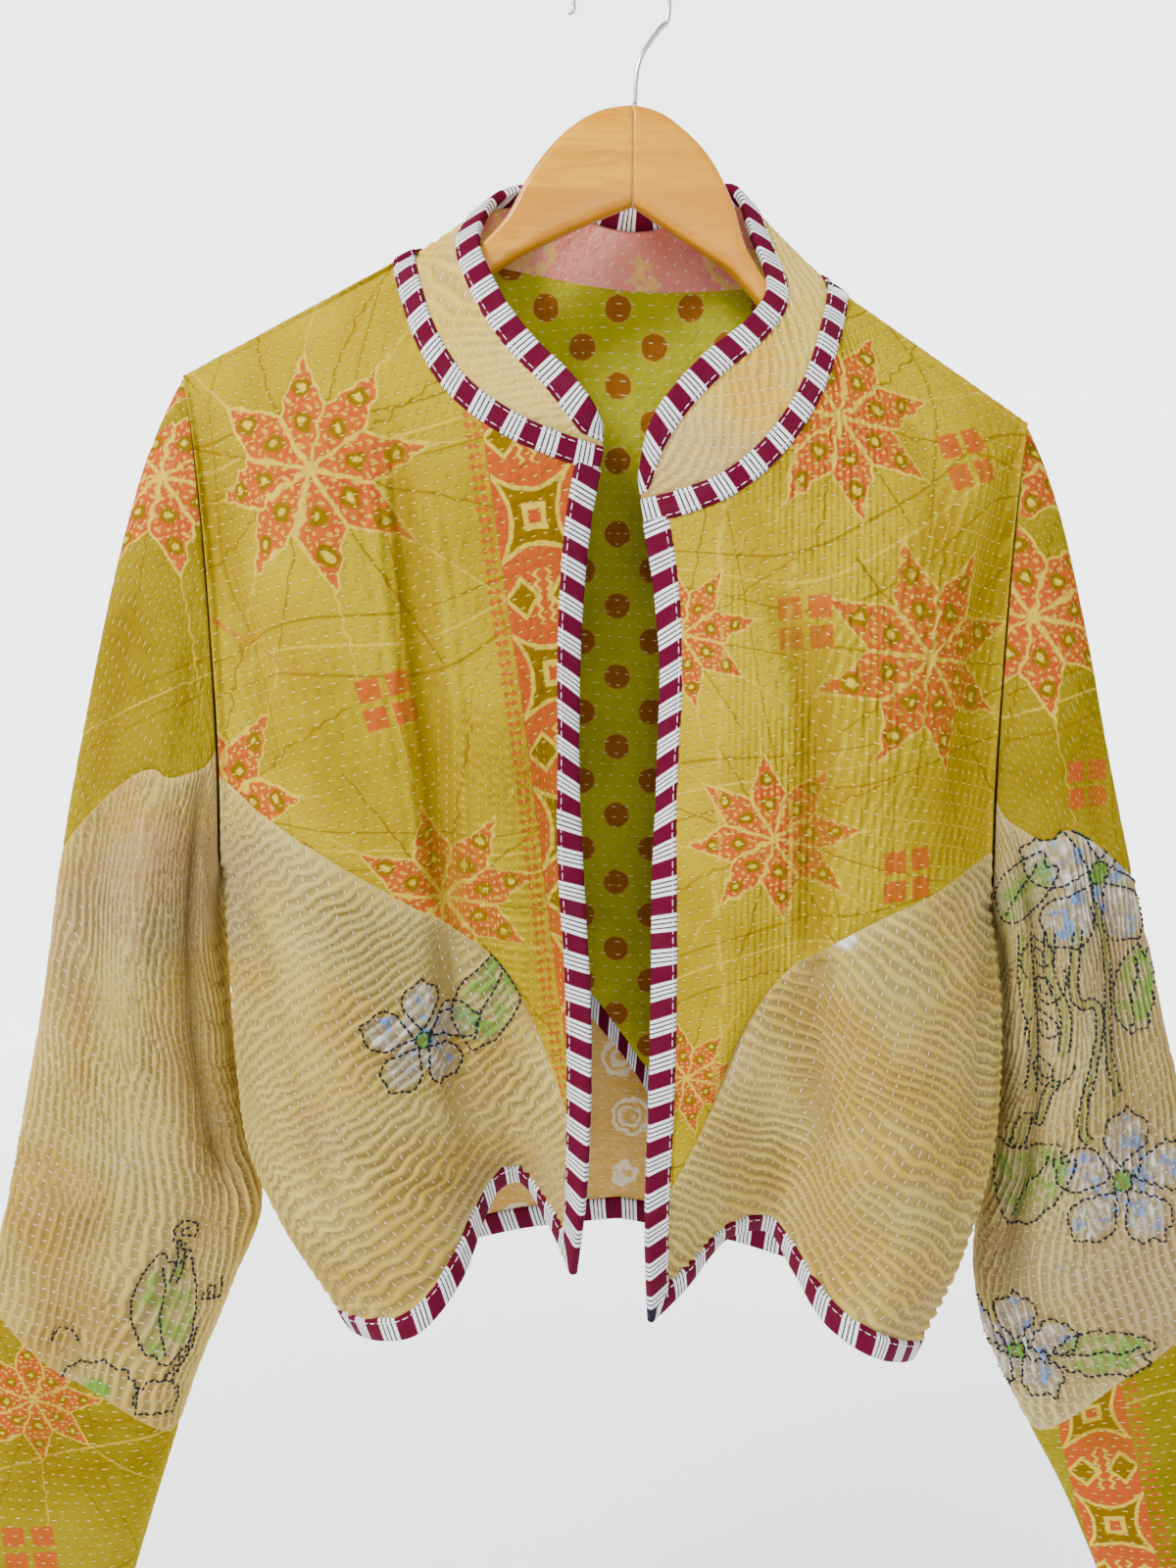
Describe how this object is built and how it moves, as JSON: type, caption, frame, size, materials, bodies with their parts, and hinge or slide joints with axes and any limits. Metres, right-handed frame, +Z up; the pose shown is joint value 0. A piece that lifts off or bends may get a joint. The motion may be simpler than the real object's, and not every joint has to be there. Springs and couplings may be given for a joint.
{
  "type": "kantha jacket on hanger",
  "caption": "Short quilted cotton jacket with stand collar, open front and striped edge binding, hanging on a wooden hanger with a wire hook.",
  "frame": {"origin": "inside of the top of the hanger's wire hook, where it rests on what holds it", "axes": "+Z up, the jacket's front faces -Y, +X towards the wearer's left"},
  "size_m": [0.8118, 0.104, 0.8672],
  "materials": {
    "printed_cloth": "washed quilted cotton with a printed pattern",
    "beige_cloth": "washed quilted cotton, mottled beige",
    "striped_binding": "woven cotton tape, crimson and white bands",
    "wood": "satin varnish",
    "steel_wire": "polished"
  },
  "bodies": {
    "root": {"front_right_upper": "printed_cloth", "front_right_lower": "beige_cloth", "front_left_upper": "printed_cloth", "front_left_lower": "beige_cloth", "back_upper": "printed_cloth", "back_lower": "beige_cloth", "sleeve_right_upper": "printed_cloth", "sleeve_right_middle": "beige_cloth", "sleeve_right_lower": "printed_cloth", "sleeve_left_upper": "printed_cloth", "sleeve_left_middle": "beige_cloth", "sleeve_left_lower": "printed_cloth", "collar": "beige_cloth", "collar_edge_binding": "striped_binding", "neck_seam_binding": "striped_binding", "edge_binding_right": "striped_binding", "edge_binding_left": "striped_binding", "edge_binding_back": "striped_binding", "cuff_binding_right": "striped_binding", "cuff_binding_left": "striped_binding", "back_seam_tape": "striped_binding", "hanger_arm_right": "wood", "hanger_arm_left": "wood", "hanger_hook": "steel_wire"}
  },
  "joints": []
}
